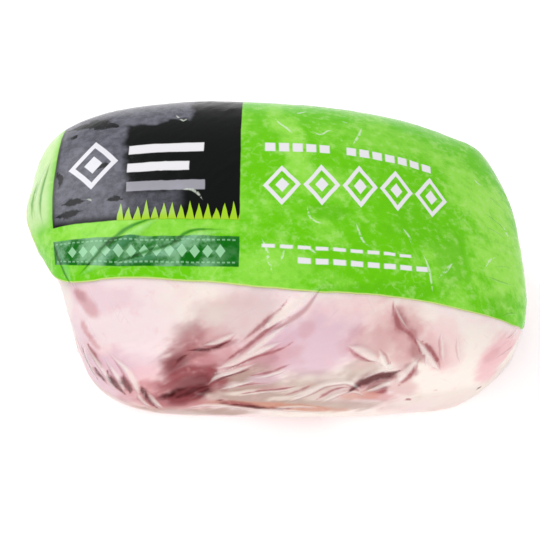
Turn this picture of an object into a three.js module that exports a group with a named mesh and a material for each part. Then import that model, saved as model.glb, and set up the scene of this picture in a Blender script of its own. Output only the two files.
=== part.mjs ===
// A boneless lamb shoulder in a printed vacuum shrink bag: one sealed cushion-shaped pack lying flat.
// Millimetres, +Z up. +X runs along the pack, -Y is the side with the clear window, and the origin is on the
// surface it lies on, under the middle of the pack.
import * as THREE from "three";

const { degToRad, lerp, radToDeg, smoothstep } = THREE.MathUtils;

// Driving dimensions of the pack
const HALF_LENGTH = 109.5; // spine, from the middle to either end
const FRONT_REACH = 82.5; // spine to the window side
const BACK_REACH = 72.5; // spine to the far side
const CROWN_HEIGHT = 93; // highest point of the top
const CROWN_FALL = 36; // how much lower the top is at the right end
const WAIST_HEIGHT = 42; // height of the widest girth
const WAIST_FALL = 8; // how much lower the girth is at the right end
const FALL_STATION = -0.37; // where both falls begin, as a share of the half length
const BASE_PRESS = 2.5; // how far the round underside is pressed flat
const BASE_SPREAD = 0.6; // below 1 keeps the underside wide towards the ends
const BASE_DEPTH = 0.7; // share of the way down from the girth at which that spread is full

// Roundness exponents: 2 is an ellipse, higher is squarer
const PLAN_ROUNDNESS = { leftFront: 4.4, leftBack: 3.5, rightFront: 3, rightBack: 3.9 };
const CROWN_ROUNDNESS = 2.65;
const BELLY_ROUNDNESS = 3.2;

// Lean of the ends: millimetres along X for each millimetre towards the back or upwards
const LEFT_SLANT = 0.2;
const RIGHT_SLANT = 0.06;
const LEFT_LEAN = 0.12;
const END_TUCK = 0.05; // share of the length drawn in under the ends

// Places on the pack are [mm along the spine, turn in degrees]: turn 0 faces the window side, 90 is the top,
// 180 the far side and 270 the base.
// Swells and hollows of the meat under the tight film, with their spread and rise in mm
const SWELLS = [
  { name: "left fat lobe", at: [-76, 30], spread: 24, rise: 4 },
  { name: "middle fat lobe", at: [-16, 42], spread: 22, rise: 2.5 },
  { name: "membrane lobe", at: [15, 38], spread: 20, rise: 3 },
  { name: "right fat lobe", at: [76, 28], spread: 24, rise: 3.5 },
  { name: "right belly", at: [71, -34], spread: 16, rise: 3.5 },
  { name: "left end bulge", at: [-108, 83], spread: 15, rise: 6 },
  { name: "right back corner", at: [93, 146], spread: 10, rise: 3 },
  { name: "muscle hollow", at: [-45, 15], spread: 14, rise: -6 },
  { name: "slit", at: [40, 15], spread: 10, rise: -4 },
  { name: "fold hollow", at: [50, 40], spread: 13, rise: -3 },
  { name: "left end recess", at: [-107, 10], spread: 15, rise: -6 },
];

// Main pleats of the film, as straight ridges between two places
const PLEAT_WIDTH = 5; // from the crest to the foot
const PLEATS = [
  { name: "long pleat, lower half", from: [-27, 20], to: [-6, 38], rise: 1.8 },
  { name: "long pleat, upper half", from: [-6, 38], to: [13, 52], rise: 2.2 },
  { name: "second pleat", from: [-27, 14], to: [7, 37], rise: 1.6 },
  { name: "short pleat", from: [24, 36], to: [40, 26], rise: 2 },
  { name: "bottom fold, left", from: [12, -2], to: [23, 10], rise: 1.6 },
  { name: "bottom fold, right", from: [23, 10], to: [42, -4], rise: 1.6 },
  { name: "slit lip", from: [46, 4], to: [58, 30], rise: 1.8 },
  { name: "right gather", from: [57, 39], to: [64, 19], rise: 1.6 },
  { name: "left gather, outer", from: [-96, 32], to: [-74, -6], rise: 1.6 },
  { name: "left gather, inner", from: [-87, 33], to: [-70, 2], rise: 1.4 },
  { name: "print crease", from: [-64, 71], to: [-93, 50], rise: 1.6 },
];

// Relief fades out between these heights, so that the base stays flat
const RELIEF_FADE = { none: 4, full: 20 };

// Grid of the surface: stations along the spine, and rows around it that are closest on the window side
const STATION_STEPS = 92;
const TURN_BANDS = [
  { start: -24, end: 62, rows: 32 },
  { start: 62, end: 180, rows: 14 },
  { start: 180, end: 240, rows: 7 },
  { start: 240, end: 300, rows: 2 },
  { start: 300, end: 336, rows: 3 },
];
const MEAN_RADIUS = 68; // girth over a full turn, for distances around the pack
const PROBE = 1e-4; // small step for the surface's slopes
const LAST_STATION = 1 - 1e-5;

// Share of the reach across (-1 window side, 1 far side) and up (-1 base, 1 top) of the section at a turn
function sectionAt(turn) {
  const towards = -Math.cos(turn);
  const upward = Math.sin(turn);
  const roundness = upward >= 0 ? CROWN_ROUNDNESS : BELLY_ROUNDNESS;
  const radius = (Math.abs(towards) ** roundness + Math.abs(upward) ** roundness) ** (-1 / roundness);
  return { across: radius * towards, up: radius * upward };
}

// Share of the full section that is left at a station: 1 in the middle, 0 at the two ends
function taperAt(station, across) {
  const back = smoothstep(across, -1, 1);
  const { leftFront, leftBack, rightFront, rightBack } = PLAN_ROUNDNESS;
  const roundness = station < 0 ? lerp(leftFront, leftBack, back) : lerp(rightFront, rightBack, back);
  return (1 - Math.abs(station) ** roundness) ** (1 / roundness);
}

// The smooth cushion, before its swells and pleats
function cushionPoint(station, turn) {
  const { across, up } = sectionAt(turn);
  const taper = taperAt(station, across);
  const fall = Math.max(0, (station - FALL_STATION) / (1 - FALL_STATION)) ** 2;
  const crown = CROWN_HEIGHT - CROWN_FALL * fall;
  const waist = WAIST_HEIGHT - WAIST_FALL * fall;
  const spread = lerp(1, BASE_SPREAD, smoothstep(-up, 0, BASE_DEPTH));
  const rise = up >= 0 ? (crown - waist) * up * taper : (waist + BASE_PRESS) * up * taper ** spread;
  const y = (across < 0 ? FRONT_REACH : BACK_REACH) * across * taper;
  const slant = station < 0 ? LEFT_SLANT : RIGHT_SLANT;
  const lean = station < 0 ? LEFT_LEAN : 0;
  const tuck = END_TUCK * Math.abs(station) * Math.max(0, -up * taper) ** 2;
  const x = HALF_LENGTH * station * (1 - tuck) - station ** 2 * (slant * y + lean * rise);
  return new THREE.Vector3(x, y, Math.max(0, waist + rise));
}

// Outward direction of the cushion, from its slopes along and around
function cushionNormal(station, turn) {
  const before = Math.max(-LAST_STATION, station - PROBE);
  const after = Math.min(LAST_STATION, station + PROBE);
  const along = cushionPoint(after, turn).sub(cushionPoint(before, turn));
  const around = cushionPoint(station, turn + PROBE).sub(cushionPoint(station, turn - PROBE));
  return along.cross(around).normalize();
}

const swellCentres = SWELLS.map(({ at }) => cushionPoint(at[0] / HALF_LENGTH, degToRad(at[1])));

// Rise of all swells at a point of the cushion, by their distance in space
function swellRise(point) {
  return SWELLS.reduce((sum, { spread, rise }, i) => {
    const distance = point.distanceTo(swellCentres[i]) / spread;
    return sum + rise * Math.exp(-(distance ** 2));
  }, 0);
}

// A place on the pack as a flat point: mm along the spine and mm around the girth
function flatPlace(along, turnDegrees) {
  return new THREE.Vector3(along, degToRad(turnDegrees) * MEAN_RADIUS, 0);
}

const pleatLines = PLEATS.map(({ from, to }) => new THREE.Line3(flatPlace(...from), flatPlace(...to)));

// Rise of the highest pleat at a place, rounded at the crest and gone at the foot
function pleatRise(place) {
  const nearest = new THREE.Vector3();
  return PLEATS.reduce((highest, { rise }, i) => {
    pleatLines[i].closestPointToPoint(place, true, nearest);
    const share = 1 - smoothstep(place.distanceTo(nearest), 0, PLEAT_WIDTH);
    return Math.max(highest, rise * share);
  }, 0);
}

// A point of the finished surface
function packPoint(station, turn) {
  const point = cushionPoint(station, turn);
  const fade = smoothstep(point.z, RELIEF_FADE.none, RELIEF_FADE.full);
  const place = flatPlace(HALF_LENGTH * station, radToDeg(turn));
  const rise = fade * (swellRise(point) + pleatRise(place));
  point.addScaledVector(cushionNormal(station, turn), rise);
  point.z = Math.max(0, point.z);
  return point;
}

// Turns of the rows, from the first to the same place one full turn later
function turnRows() {
  const rows = TURN_BANDS.flatMap(({ start, end, rows: count }) =>
    Array.from({ length: count }, (_, i) => degToRad(lerp(start, end, i / count))),
  );
  return [...rows, rows[0] + 2 * Math.PI];
}

function middleOf(points) {
  return points.reduce((sum, point) => sum.add(point), new THREE.Vector3()).divideScalar(points.length);
}

// Two triangles for the four corners a, b, c, d of a cell, split along the diagonal that lies nearer the surface
function cellFaces(points, [a, b, c, d], surfacePoint) {
  const missBy = (p, q) => middleOf([points[p], points[q]]).distanceTo(surfacePoint);
  return missBy(a, c) < missBy(b, d) ? [a, b, c, a, c, d] : [a, b, d, b, c, d];
}

// Rings of the surface from the left end to the right, each end closed by a fan to one point
function packGeometry() {
  const turns = turnRows();
  const count = turns.length - 1;
  const stations = Array.from(
    { length: STATION_STEPS - 1 },
    (_, i) => -Math.cos((Math.PI * (i + 1)) / STATION_STEPS),
  );
  const rings = stations.map((station) => turns.slice(0, count).map((turn) => packPoint(station, turn)));
  const points = [...rings.flat(), middleOf(rings[0]), middleOf(rings[rings.length - 1])];
  const leftTip = points.length - 2;
  const rightTip = points.length - 1;
  const lastRing = (rings.length - 1) * count;
  const faces = [];
  for (let row = 0; row < count; row++) {
    const next = (row + 1) % count;
    const midTurn = (turns[row] + turns[row + 1]) / 2;
    faces.push(leftTip, row, next, rightTip, lastRing + next, lastRing + row);
    for (let ring = 0; ring < rings.length - 1; ring++) {
      const near = ring * count;
      const far = near + count;
      const surfacePoint = packPoint((stations[ring] + stations[ring + 1]) / 2, midTurn);
      faces.push(...cellFaces(points, [near + row, far + row, far + next, near + next], surfacePoint));
    }
  }
  const geometry = new THREE.BufferGeometry().setFromPoints(points).setIndex(faces);
  geometry.computeBoundingBox();
  const centre = geometry.boundingBox.getCenter(new THREE.Vector3());
  geometry.translate(-centre.x, -centre.y, -geometry.boundingBox.min.z);
  geometry.computeVertexNormals();
  return geometry;
}

const printedFilm = new THREE.MeshStandardMaterial({ color: 0x78d220, roughness: 0.25, metalness: 0 });
const pack = new THREE.Mesh(packGeometry(), printedFilm);
pack.name = "vacuum_pack";

const part = new THREE.Group();
part.add(pack);

export default part;
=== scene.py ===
# A vacuum-packed lamb shoulder: printed shrink film drawn tight over meat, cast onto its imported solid.
import math
import random

import bpy
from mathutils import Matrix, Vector


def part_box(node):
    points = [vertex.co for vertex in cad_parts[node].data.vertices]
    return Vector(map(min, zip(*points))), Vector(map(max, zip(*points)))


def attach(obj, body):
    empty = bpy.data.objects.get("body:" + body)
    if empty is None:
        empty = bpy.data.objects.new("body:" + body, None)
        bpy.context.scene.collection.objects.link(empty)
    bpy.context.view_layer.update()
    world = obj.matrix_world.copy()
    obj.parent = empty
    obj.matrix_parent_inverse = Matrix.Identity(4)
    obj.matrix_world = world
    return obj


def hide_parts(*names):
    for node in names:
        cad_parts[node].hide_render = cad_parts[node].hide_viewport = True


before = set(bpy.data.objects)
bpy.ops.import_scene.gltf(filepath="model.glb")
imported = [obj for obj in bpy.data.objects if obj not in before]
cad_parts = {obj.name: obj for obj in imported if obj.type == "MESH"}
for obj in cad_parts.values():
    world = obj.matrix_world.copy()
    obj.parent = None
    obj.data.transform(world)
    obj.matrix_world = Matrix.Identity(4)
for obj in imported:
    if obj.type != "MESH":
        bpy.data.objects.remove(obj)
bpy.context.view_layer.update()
PACK_NODE = "vacuum_pack"
PACK_LOW, PACK_HIGH = (Vector(corner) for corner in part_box(PACK_NODE))

bl_info = {
    "name": "Vacuum-packed lamb shoulder",
    "version": (1, 0, 0),
    "blender": (4, 5, 0),
    "location": "3D View > Sidebar > Lamb pack",
    "description": "Dresses a sealed pack with printed shrink film, its pleats and the meat inside",
    "category": "Object",
}

MM = 0.001
SKIN_UV = "skin"


def srgb(red, green, blue):
    """Linear colour of an 8-bit screen colour."""
    def linear(level):
        share = level / 255
        return share / 12.92 if share <= 0.04045 else ((share + 0.055) / 1.055) ** 2.4
    return linear(red), linear(green), linear(blue)


def length(label, description, default):
    """A length in metres that a user may change."""
    return bpy.props.FloatProperty(
        name=label, description=description, default=default, subtype="DISTANCE", unit="LENGTH"
    )


def count(label, description, default):
    """A whole number that a user may change."""
    return bpy.props.IntProperty(name=label, description=description, default=default, min=0)


def colour(label, description, default):
    """A surface colour that a user may change."""
    return bpy.props.FloatVectorProperty(
        name=label, description=description, default=default, subtype="COLOR", size=3, min=0, max=1
    )


class SkinSizes(bpy.types.PropertyGroup):
    """How the film, its pleats and the meat are wrapped onto the pack's solid."""

    stations: count("Stations", "Cells of the wrapped grid from end to end", 290)
    turns: count("Turns", "Cells of the wrapped grid around the pack", 340)
    spine_height: length("Spine height", "Height of the line that the grid is cast out from", 40 * MM)
    spine_fall: length("Spine fall", "How much lower that line is at the right end", 14 * MM)
    smoothing: count("Smoothing", "Rounds of smoothing of the wrapped form", 30)
    meat_inset: length("Meat inset", "How far the meat lies under the film", 0.3 * MM)
    meat_lumps: length("Meat lumps", "Depth of the uneven surface of the meat", 0.5 * MM)
    loose_end: length("Loose end", "Gap between the film and the meat at the left end", 4 * MM)
    crinkle: length("Crinkle", "Height of the film's small crinkles", 0.25 * MM)
    pleat_height: length("Pleat height", "Height of a pleat of size 1", 1.5 * MM)
    pleat_reach: length("Pleat reach", "From the crest to the foot of a pleat of size 1", 2.3 * MM)
    gathers: count("Gathers", "Small pleats at each end of the bag", 22)
    creases: count("Creases", "Fine creases scattered over the window", 38)


class PrintColours(bpy.types.PropertyGroup):
    """Inks of the printed part of the film."""

    lime: colour("Lime", "Main field of the print", srgb(108, 205, 8))
    # Frosted lime: partly frosted film and partly a painted sheen of the lights
    frost_and_sheen: colour("Frost", "Lime ink where the film is frosted", srgb(158, 230, 84))
    deep: colour("Deep green", "Lime ink where it lies thickest", srgb(96, 190, 10))
    charcoal: colour("Charcoal", "Dark panel", srgb(8, 10, 10))
    bottle: colour("Bottle green", "Narrow band with the stitched edge", srgb(6, 106, 8))
    mint: colour("Mint", "Stitches and small marks on the band", srgb(170, 226, 180))
    spring: colour("Spring green", "Toothed edge of the dark panel", srgb(168, 214, 40))
    white: colour("White", "Bars and lozenges", srgb(236, 234, 238))
    silver: colour("Silver", "Third bar of the dark panel", srgb(158, 157, 166))
    edge: colour("Edge", "Thin pale line where the print ends", srgb(206, 222, 130))


class MeatColours(bpy.types.PropertyGroup):
    """Fat, muscle and membrane of the lamb."""

    fat: colour("Fat", "Pale pink fat", srgb(250, 228, 230))
    cream: colour("Cream", "Creamy fat", srgb(252, 240, 230))
    blush: colour("Blush", "Fat with blood in it", srgb(243, 196, 200))
    mauve: colour("Mauve", "Bluish membrane over muscle", srgb(226, 192, 206))
    rose: colour("Rose", "Thin fat over muscle", srgb(210, 146, 150))
    muscle: colour("Muscle", "Red muscle", srgb(150, 70, 76))
    wine: colour("Wine", "Deep muscle and blood", srgb(72, 2, 5))
    # Beige is mostly painted shade, in the folds and along the bottom of the meat
    beige_and_shade: colour("Beige", "Dull fat in the folds", srgb(178, 146, 134))
    amber: colour("Amber", "Warm crease along the bottom", srgb(216, 148, 124))


class StageSettings(bpy.types.PropertyGroup):
    """Floor colour and camera."""

    floor_colour: colour("Floor", "Pale floor under the pack", (0.92, 0.92, 0.92))
    camera_rise: bpy.props.FloatProperty(
        name="Camera rise",
        description="Angle that the camera looks down",
        default=math.radians(50),
        subtype="ANGLE",
    )
    camera_distance: length("Camera distance", "From the camera to the point that it looks at", 0.8)
    view_width: length("View width", "Width of the picture at that point", 249 * MM)
    aim_height: length("Aim height", "Height of that point above the floor", 33.2 * MM)
    aim_shift: length("Aim shift", "How far that point is to the right of the middle", -3.1 * MM)


# A noise swings about its middle, and most of its values lie within its span
NOISE_MIDDLE = 0.5
NOISE_SPAN = (0.3, 0.7)
# Moves a second noise away from the first, so that the two differ
NOISE_SHIFT = (0.3, 0.1, 0.2)


class NodeMaker:
    """Adds nodes to one tree, so that the tree reads as a list of steps."""

    def __init__(self, tree):
        self.tree = tree

    def feed(self, socket, value):
        """Links a socket to another, or sets its value."""
        if isinstance(value, bpy.types.NodeSocket):
            self.tree.links.new(value, socket)
        elif socket.type == "RGBA" and len(value) == 3:
            socket.default_value = (*value, 1)
        else:
            socket.default_value = value

    def add(self, kind, inputs=(), **settings):
        """A new node, with its settings made before its inputs."""
        node = self.tree.nodes.new(kind)
        for name, value in settings.items():
            setattr(node, name, value)
        for key, value in dict(inputs).items():
            self.feed(node.inputs[key], value)
        return node

    def math(self, operation, *values):
        """One operation on numbers."""
        return self.add("ShaderNodeMath", enumerate(values), operation=operation).outputs[0]

    def chain(self, operation, result, *values):
        """One operation over several values, from left to right."""
        for value in values:
            result = self.math(operation, result, value)
        return result

    def plus(self, *values):
        return self.chain("ADD", *values)

    def minus(self, first, second):
        return self.math("SUBTRACT", first, second)

    def times(self, *values):
        return self.chain("MULTIPLY", *values)

    def over(self, first, second):
        return self.math("DIVIDE", first, second)

    def largest(self, *values):
        return self.chain("MAXIMUM", *values)

    def smallest(self, *values):
        return self.chain("MINIMUM", *values)

    def vector(self, operation, *values):
        """One operation on vectors."""
        node = self.add("ShaderNodeVectorMath", enumerate(values), operation=operation)
        return node.outputs["Value"] if operation == "LENGTH" else node.outputs["Vector"]

    def scaled(self, vector, factor):
        node = self.add("ShaderNodeVectorMath", {0: vector, "Scale": factor}, operation="SCALE")
        return node.outputs["Vector"]

    def combine(self, x, y, z=0.0):
        return self.add("ShaderNodeCombineXYZ", {"X": x, "Y": y, "Z": z}).outputs["Vector"]

    def separate(self, vector):
        return self.add("ShaderNodeSeparateXYZ", {"Vector": vector}).outputs[:]

    def step(self, value, start, end, low=0.0, high=1.0):
        """Runs smoothly from low to high as the value goes from start to end."""
        inputs = {"Value": value, "From Min": start, "From Max": end, "To Min": low, "To Max": high}
        return self.add("ShaderNodeMapRange", inputs, interpolation_type="SMOOTHSTEP").outputs["Result"]

    def inside(self, value, low, high, soft):
        """1 between low and high, with soft edges."""
        rising = self.step(self.minus(value, low), -soft, soft)
        falling = self.step(self.minus(value, high), soft, -soft)
        return self.times(rising, falling)

    def sloped(self, value, start, end, low, high):
        """A straight line through two places, running on past both."""
        slope = (high - low) / (end - start)
        return self.math("MULTIPLY_ADD", value, slope, low - slope * start)

    def blend(self, share, first, second, mode="MIX"):
        """Colour between two others."""
        inputs = {0: share, 6: first, 7: second}
        return self.add("ShaderNodeMix", inputs, data_type="RGBA", blend_type=mode).outputs[2]

    def noise(self, place, scale, detail=2.0, roughness=0.5):
        """A soft random value at a place, about 0 to 1."""
        inputs = {"Vector": place, "Scale": scale, "Detail": detail, "Roughness": roughness}
        return self.add("ShaderNodeTexNoise", inputs).outputs[0]

    def wander(self, place, scale, reach):
        """A value that drifts up to about the reach either way."""
        return self.math("MULTIPLY_ADD", self.noise(place, scale), 2 * reach, -reach)

    def cloud(self, place, noise, step):
        """A mask that follows a noise."""
        return self.step(self.noise(place, *noise), *step)

    def paint(self, base, mask, strength, tint, mode="MIX"):
        """Lays a colour over another where a mask is, at a strength."""
        return self.blend(self.times(mask, strength), base, tint, mode)

    def ragged(self, place, texture, reach):
        """An uneven shift for an edge, up to about the reach either way."""
        return self.sloped(self.noise(place, *texture), *NOISE_SPAN, -reach, reach)

    def winding(self, place, *texture):
        """Distance of a noise from its middle: 0 along winding lines."""
        return self.math("ABSOLUTE", self.minus(self.noise(place, *texture), NOISE_MIDDLE))

    def turned(self, vector, degrees, centre=(0, 0, 0)):
        """A flat place turned back by an angle about a centre."""
        inputs = {"Vector": vector, "Center": centre, "Angle": -math.radians(degrees)}
        return self.add("ShaderNodeVectorRotate", inputs, rotation_type="Z_AXIS").outputs[0]

    def attribute(self, name, output="Fac"):
        """A value that the piece's mesh carries."""
        return self.add("ShaderNodeAttribute", attribute_name=name).outputs[output]

    def mixed(self, share, first, second):
        """Surface between two others."""
        return self.add("ShaderNodeMixShader", {0: share, 1: first, 2: second}).outputs[0]

    def curve(self, value, points):
        """A smooth line through a few points, given from left to right."""
        (left, right), (low, high) = ((min(axis), max(axis)) for axis in zip(*points))
        share = self.over(self.minus(value, left), right - left)
        node = self.add("ShaderNodeFloatCurve", {"Value": share})
        line = node.mapping.curves[0]
        while len(line.points) < len(points):
            line.points.new(0.5, 0.5)
        for handle, (x, y) in zip(line.points, points):
            handle.location = ((x - left) / (right - left), (y - low) / (high - low))
        node.mapping.update()
        return self.math("MULTIPLY_ADD", node.outputs[0], high - low, low)


def geometry_tree(name, inputs):
    """A Geometry Nodes tree with named inputs: the tree, its maker, its inputs and its output node."""
    tree = bpy.data.node_groups.new(name, "GeometryNodeTree")
    for label, kind in inputs.items():
        tree.interface.new_socket(label, in_out="INPUT", socket_type=kind)
    tree.interface.new_socket("Geometry", in_out="OUTPUT", socket_type="NodeSocketGeometry")
    maker = NodeMaker(tree)
    given = maker.add("NodeGroupInput").outputs
    result = maker.add("NodeGroupOutput")
    return tree, maker, given, result


def plain_mesh(piece_name, tree, values):
    """Runs a tree with its inputs and returns the result as a plain mesh object at the origin."""
    piece = bpy.data.objects.new(piece_name, bpy.data.meshes.new(piece_name))
    bpy.context.scene.collection.objects.link(piece)
    modifier = piece.modifiers.new(tree.name, "NODES")
    modifier.node_group = tree
    for socket in tree.interface.items_tree:
        if socket.in_out == "INPUT":
            modifier[socket.identifier] = values[socket.name]
    depsgraph = bpy.context.evaluated_depsgraph_get()
    evaluated = piece.evaluated_get(depsgraph)
    mesh = bpy.data.meshes.new_from_object(evaluated, preserve_all_data_layers=True, depsgraph=depsgraph)
    if not mesh.polygons:
        raise RuntimeError(f"The tree {tree.name} made no faces for {piece_name}")
    piece.modifiers.clear()
    piece.data = mesh
    mesh.name = piece_name
    return piece


def new_material(name):
    """A procedural material, its maker and its output node."""
    material = bpy.data.materials.new(name)
    material.use_nodes = True
    material.node_tree.nodes.clear()
    maker = NodeMaker(material.node_tree)
    return material, maker, maker.add("ShaderNodeOutputMaterial")


# Rough cushion that the grid starts from: roundness 2 is an ellipse, higher is squarer
PLAN_ROUNDNESS = 3.6
SECTION_ROUNDNESS = 2.8
SPINE_SHARE = 0.7
ROW_CROWDING = 0.55
ROW_CROWDING_TURN = math.radians(36)
MEAN_RADIUS = 68 * MM
FALL_START = -40 * MM
RAY_LENGTH = 0.5
SEAM_GAP = 1e-6
SEAM_EDGE = (0.498, 0.4995)


def rounded_turn(maker, turn, roundness):
    """Cosine and sine of a turn, pushed out from the circle to a rounded square."""
    across = maker.math("COSINE", turn)
    up = maker.math("SINE", turn)
    powers = [maker.math("POWER", maker.math("ABSOLUTE", share), roundness) for share in (across, up)]
    radius = maker.math("POWER", maker.plus(*powers), -1 / roundness)
    return maker.times(across, radius), maker.times(up, radius)


def stored(maker, geometry, name, value, data_type="FLOAT", domain="POINT"):
    """Geometry that carries a value under a name."""
    inputs = {"Geometry": geometry, "Name": name, "Value": value}
    kinds = {"data_type": data_type, "domain": domain}
    return maker.add("GeometryNodeStoreNamedAttribute", inputs, **kinds).outputs[0]


def named(maker, name, data_type="FLOAT"):
    """A value that the geometry carries under a name."""
    return maker.add("GeometryNodeInputNamedAttribute", {"Name": name}, data_type=data_type).outputs[0]


def flat_place(maker):
    """Metres along and around the pack, as a flat place."""
    return named(maker, "flat", "FLOAT_VECTOR")


def position(maker):
    """Place of each point, in metres."""
    return maker.add("GeometryNodeInputPosition").outputs[0]


def solid_of(maker, thing):
    """Geometry of another object, in this one's space."""
    inputs = {"Object": thing}
    return maker.add("GeometryNodeObjectInfo", inputs, transform_space="RELATIVE").outputs["Geometry"]


def rough_skin(maker, given):
    """A closed grid on a rough cushion of the pack's size, mapped in metres along and around the pack."""
    half = (PACK_HIGH - PACK_LOW) / 2
    sizes = {
        "Size X": 1.0,
        "Size Y": 1.0,
        "Vertices X": maker.plus(given["Stations"], 1.0),
        "Vertices Y": maker.plus(given["Turns"], 1.0),
    }
    grid = maker.add("GeometryNodeMeshGrid", sizes).outputs["Mesh"]
    x, y, _ = maker.separate(position(maker))
    sweep = maker.times(maker.minus(0.5, x), math.pi)
    even_turn = maker.times(y, 2 * math.pi)
    crowding = maker.math("COSINE", maker.plus(even_turn, math.pi / 2 - ROW_CROWDING_TURN))
    turn = maker.math("MULTIPLY_ADD", crowding, ROW_CROWDING, even_turn)
    station, taper = rounded_turn(maker, sweep, PLAN_ROUNDNESS)
    across, up = rounded_turn(maker, turn, SECTION_ROUNDNESS)
    along = maker.times(station, half.x)
    form = maker.combine(along, maker.times(across, taper, -half.y), maker.times(up, taper, half.z))
    place = maker.combine(along, maker.times(turn, MEAN_RADIUS))
    mapped = stored(maker, grid, SKIN_UV, place, "FLOAT2", "CORNER")
    mapped = stored(maker, mapped, "along", along)
    mapped = stored(maker, mapped, "flat", place, "FLOAT_VECTOR")
    mapped = stored(maker, mapped, "seam", maker.step(maker.math("ABSOLUTE", y), *SEAM_EDGE))
    shaped = maker.add("GeometryNodeSetPosition", {"Geometry": mapped, "Position": form}).outputs[0]
    inputs = {"Geometry": shaped, "Distance": SEAM_GAP}
    closed = maker.add("GeometryNodeMergeByDistance", inputs).outputs[0]
    # Merging leaves the seam with the mean of both its places, half a turn off
    half_turn = maker.combine(0.0, maker.times(named(maker, "seam"), math.pi * MEAN_RADIUS))
    flat = maker.vector("ADD", flat_place(maker), half_turn)
    return stored(maker, closed, "flat", flat, "FLOAT_VECTOR")


def cast_out(maker, given):
    """Rays from the spine through the rough cushion: their start, direction and reach to the solid."""
    along = named(maker, "along")
    start = maker.combine(maker.times(along, SPINE_SHARE), 0.0)
    direction = maker.vector("NORMALIZE", maker.vector("SUBTRACT", position(maker), start))
    slope = maker.sloped(along, FALL_START, PACK_HIGH.x, 0, 1)
    fall = maker.math("POWER", maker.largest(slope, 0.0), 2.0)
    height = maker.minus(given["Spine height"], maker.times(fall, given["Spine fall"]))
    spine = maker.vector("ADD", start, maker.combine(0.0, 0.0, height))
    inputs = {
        "Target Geometry": solid_of(maker, given["Solid"]),
        "Source Position": spine,
        "Ray Direction": direction,
        "Ray Length": RAY_LENGTH,
    }
    reach = maker.add("GeometryNodeRaycast", inputs).outputs["Hit Distance"]
    return spine, direction, reach


def blurred(maker, value, rounds):
    """A value smoothed over its neighbours."""
    return maker.add("GeometryNodeBlurAttribute", {"Value": value, "Iterations": rounds}).outputs[0]


def drawn_to(maker, geometry, place):
    """Moves each point to its place, but not below the floor."""
    x, y, z = maker.separate(place)
    standing = maker.combine(x, y, maker.largest(z, 0.0))
    return maker.add("GeometryNodeSetPosition", {"Geometry": geometry, "Position": standing}).outputs[0]


def wrapped(maker, given, depth=0.0):
    """The grid cast onto the solid and smoothed, at a depth under it."""
    skin = rough_skin(maker, given)
    spine, direction, reach = cast_out(maker, given)
    under = maker.minus(blurred(maker, reach, given["Smoothing"]), depth)
    return drawn_to(maker, skin, maker.vector("ADD", spine, maker.scaled(direction, under)))


def lifted(maker, geometry, height):
    """Moves the surface out along its normals, fading near the floor."""
    normal = maker.add("GeometryNodeInputNormal").outputs["Normal"]
    here = position(maker)
    fade = maker.step(maker.separate(here)[2], FLAT_BELOW, FREE_ABOVE)
    place = maker.vector("ADD", here, maker.scaled(normal, maker.times(height, fade)))
    return drawn_to(maker, geometry, place)


def finish_tree(maker, geometry, given, result):
    """Ends a tree: smooth, real and with its material."""
    smooth = maker.add("GeometryNodeSetShadeSmooth", {"Geometry": geometry}).outputs[0]
    real = maker.add("GeometryNodeRealizeInstances", {"Geometry": smooth}).outputs[0]
    dressed = maker.add("GeometryNodeSetMaterial", {"Geometry": real, "Material": given["Material"]})
    maker.feed(result.inputs[0], dressed.outputs[0])


SKIN_INPUTS = {
    "Solid": "NodeSocketObject",
    "Pleats": "NodeSocketObject",
    "Stations": "NodeSocketInt",
    "Turns": "NodeSocketInt",
    "Spine height": "NodeSocketFloat",
    "Spine fall": "NodeSocketFloat",
    "Smoothing": "NodeSocketInt",
    "Pleat height": "NodeSocketFloat",
    "Pleat reach": "NodeSocketFloat",
    "Crinkle": "NodeSocketFloat",
    "Material": "NodeSocketMaterial",
}

# Heights above the floor between which the relief sets in
FLAT_BELOW = 3 * MM
FREE_ABOVE = 14 * MM

# Flat paths: spacing of their points, share of the length that tapers, and how far folds drift off them
PATH_STEP = 0.3 * MM
PATH_TAPER = 0.2
DRIFT_SCALE = 260
FOLD_DRIFT = 0.3 * MM
STREAK_LIMIT = 4.0

# Folds: least reach, shares of the reach on both sides, rounds of smoothing, and sizes that show in full
LEAST_REACH = 0.2 * MM
GENTLE = 1.4
STEEP = 0.85
PLEAT_ROUNDS = 2
FULL_FOLD = 0.6
FULL_CREASE = 0.18

# Marks of a fold: how many reaches out they show, the fade past that in mm, and low, high and soft edge
MARK_REACH = 1.3
MARK_FADE = (1.4, 0.6)
CREST = (-0.35, 0.5, 0.3)
CREASE = (-1.6, -0.85, 0.3)
FINE_LINE = (-0.4, 0.4, 0.3)

# Wrinkles: noise, grain, slopes in degrees, width of a ridge, where the slope changes, and patches
WRINKLE_NOISE = (1.0, 2.0)
WRINKLE_GRAIN = (1 / 18, 1 / 4.5, 1)
WRINKLE_SLOPES = (-75, 42)
WRINKLE_RIDGE = (0.1, 0.0)
WRINKLE_CHANGE = (-75, -50)
WRINKLE_PATCHES = {"noise": (0.035, 2.0), "step": (0.42, 0.62)}

# Relief of both skins' materials
GRAIN_SHARE = 0.3
BUMP_STRENGTH = 0.5
BUMP_DEPTH = 1.2 * MM

# Layers of the flat paths, each a metre above the one before, so that paths of two layers may cross
LAYER_STEP = 1.0
RAISED_FOLDS = ("main", "crossing", "gathers")
FILM_FOLDS = (*RAISED_FOLDS, "creases", "glints")
MEAT_STREAKS = ("wine", "rose")
PATH_LAYERS = (*FILM_FOLDS, "clear", *MEAT_STREAKS)


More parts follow.
